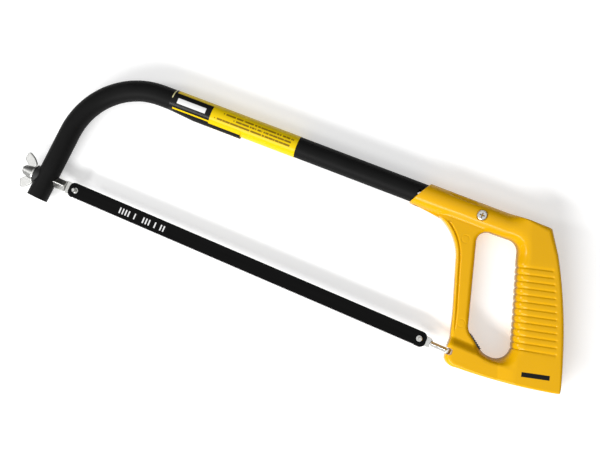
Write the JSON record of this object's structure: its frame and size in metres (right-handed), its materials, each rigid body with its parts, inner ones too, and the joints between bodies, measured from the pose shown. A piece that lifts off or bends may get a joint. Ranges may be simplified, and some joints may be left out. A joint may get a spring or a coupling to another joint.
{
  "type": "hacksaw",
  "caption": "Hacksaw with a bent tube frame, a cast D-handle and a pinned blade drawn tight by a wing nut on a square-shank bolt.",
  "frame": {"origin": "bottom centre of the bounding box, with the saw lying on its side", "axes": "+X along the blade from the wing nut to the handle, +Y from the blade to the frame tube, +Z across the saw's thickness, upward"},
  "size_m": [0.4606, 0.1354, 0.026],
  "materials": {
    "handle_casting": "gloss paint on a die casting",
    "front_bow_tube": "satin black powder coat",
    "rear_frame_tube": "satin black powder coat",
    "frame_label": "printed film",
    "retaining_screw": "bright zinc plate",
    "retaining_nut": "bright zinc plate",
    "tension_bolt": "bright zinc plate",
    "front_blade_pin": "bright zinc plate",
    "saddle_washer": "black moulding",
    "plain_washer": "bright zinc plate",
    "wing_nut": "bright zinc plate on a casting",
    "saw_blade": "black enamel on spring steel",
    "rear_blade_link": "bright zinc plate",
    "rear_blade_pin": "bright zinc plate",
    "link_cross_pin": "plain steel",
    "corner_pad": "dark grey moulding"
  },
  "bodies": {
    "frame": {"handle_casting": "handle_casting", "front_bow_tube": "front_bow_tube", "rear_frame_tube": "rear_frame_tube", "frame_label": "frame_label", "retaining_screw": "retaining_screw", "retaining_nut": "retaining_nut", "saddle_washer": "saddle_washer", "plain_washer": "plain_washer", "rear_blade_link": "rear_blade_link", "rear_blade_pin": "rear_blade_pin", "link_cross_pin": "link_cross_pin", "corner_pad": "corner_pad"},
    "tensioner": {"tension_bolt": "tension_bolt", "front_blade_pin": "front_blade_pin"},
    "wing": {"wing_nut": "wing_nut"},
    "blade": {"saw_blade": "saw_blade"}
  },
  "joints": [
    {"name": "wing_turn", "type": "hinge", "parent": "frame", "child": "wing", "pos_m": [-0.22711, -0.04984, 0.013], "axis": [-1, 0, 0], "range_deg": [0, 360]},
    {"name": "tension_slide", "type": "slide", "parent": "frame", "child": "tensioner", "axis": [1, 0, 0], "range_m": [0, 0.001]},
    {"name": "blade_lift", "type": "slide", "parent": "frame", "child": "blade", "axis": [0, 0, 1], "range_m": [0, 0.02]}
  ],
  "couplings": [
    {"joint": "wing_turn", "follows": "tension_slide", "rad_per_m": 6283.2}
  ]
}
